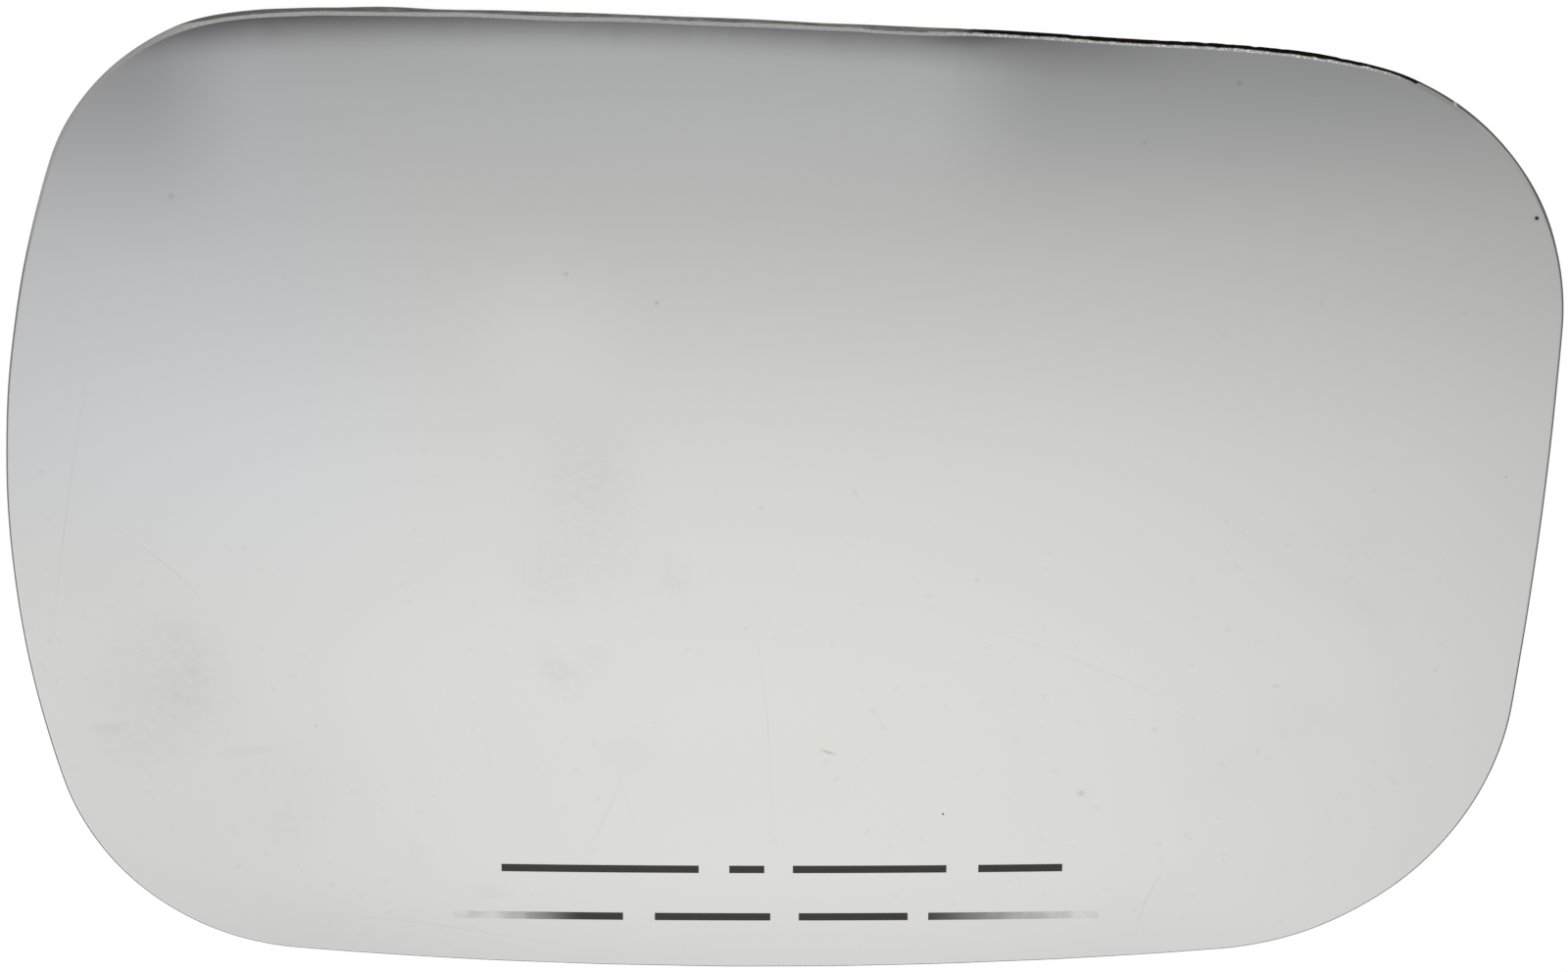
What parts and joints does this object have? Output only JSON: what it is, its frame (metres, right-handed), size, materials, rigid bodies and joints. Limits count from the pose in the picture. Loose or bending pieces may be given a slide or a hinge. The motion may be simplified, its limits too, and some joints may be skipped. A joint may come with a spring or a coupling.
{
  "type": "door mirror glass",
  "caption": "Convex silvered glass for a car door mirror: a thin plate bent to a sphere, with an uneven rounded outline, crowned sides and a ground bevel along its front edge.",
  "frame": {"origin": "under the middle of the outline's box, on the surface that the glass rests on", "axes": "+X to the right and +Y to the top as the mirrored face is looked at, +Z out of the mirrored face"},
  "size_m": [0.2296, 0.1554, 0.0073],
  "materials": {
    "silvered_glass": "silvered float glass, bright on the front, with frosted ground edges and a dull protective paint on the back"
  },
  "bodies": {
    "root": {"mirror_glass": "silvered_glass"}
  },
  "joints": []
}
